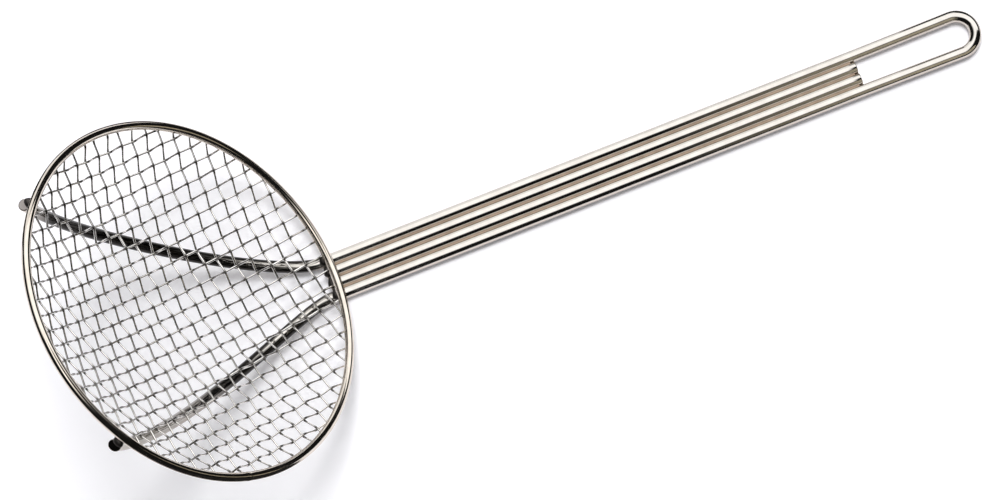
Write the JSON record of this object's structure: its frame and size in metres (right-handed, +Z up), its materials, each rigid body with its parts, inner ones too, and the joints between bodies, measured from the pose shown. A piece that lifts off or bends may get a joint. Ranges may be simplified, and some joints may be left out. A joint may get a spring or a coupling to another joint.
{
  "type": "skimmer",
  "caption": "Long-handled kitchen skimmer: a round hoop holding a shallow bowl of woven wire mesh, on ribs that run on as a wire handle with a hanging loop.",
  "frame": {"origin": "bottom centre of the object's box, on the surface that the handle lies on", "axes": "+X along the handle towards its hanging loop, +Z up, +Y across the bowl"},
  "size_m": [0.4186, 0.165, 0.117],
  "materials": {
    "handle_wire": "bright nickel plate",
    "rim_wire": "bright nickel plate",
    "mesh_wire": "nickel plate, slightly dulled"
  },
  "bodies": {
    "root": {"outer_wire_left": "handle_wire", "outer_wire_right": "handle_wire", "hanging_loop": "handle_wire", "inner_wire_left": "handle_wire", "inner_wire_right": "handle_wire", "rim_hoop": "rim_wire", "lengthwise_wire_01": "mesh_wire", "lengthwise_wire_02": "mesh_wire", "lengthwise_wire_03": "mesh_wire", "lengthwise_wire_04": "mesh_wire", "lengthwise_wire_05": "mesh_wire", "lengthwise_wire_06": "mesh_wire", "lengthwise_wire_07": "mesh_wire", "lengthwise_wire_08": "mesh_wire", "lengthwise_wire_09": "mesh_wire", "lengthwise_wire_10": "mesh_wire", "lengthwise_wire_11": "mesh_wire", "lengthwise_wire_12": "mesh_wire", "lengthwise_wire_13": "mesh_wire", "lengthwise_wire_14": "mesh_wire", "lengthwise_wire_15": "mesh_wire", "lengthwise_wire_16": "mesh_wire", "lengthwise_wire_17": "mesh_wire", "lengthwise_wire_18": "mesh_wire", "lengthwise_wire_19": "mesh_wire", "lengthwise_wire_20": "mesh_wire", "lengthwise_wire_21": "mesh_wire", "lengthwise_wire_22": "mesh_wire", "lengthwise_wire_23": "mesh_wire", "crosswise_wire_01": "mesh_wire", "crosswise_wire_02": "mesh_wire", "crosswise_wire_03": "mesh_wire", "crosswise_wire_04": "mesh_wire", "crosswise_wire_05": "mesh_wire", "crosswise_wire_06": "mesh_wire", "crosswise_wire_07": "mesh_wire", "crosswise_wire_08": "mesh_wire", "crosswise_wire_09": "mesh_wire", "crosswise_wire_10": "mesh_wire", "crosswise_wire_11": "mesh_wire", "crosswise_wire_12": "mesh_wire", "crosswise_wire_13": "mesh_wire", "crosswise_wire_14": "mesh_wire", "crosswise_wire_15": "mesh_wire", "crosswise_wire_16": "mesh_wire", "crosswise_wire_17": "mesh_wire", "crosswise_wire_18": "mesh_wire", "crosswise_wire_19": "mesh_wire", "crosswise_wire_20": "mesh_wire", "crosswise_wire_21": "mesh_wire", "crosswise_wire_22": "mesh_wire", "crosswise_wire_23": "mesh_wire"}
  },
  "joints": []
}
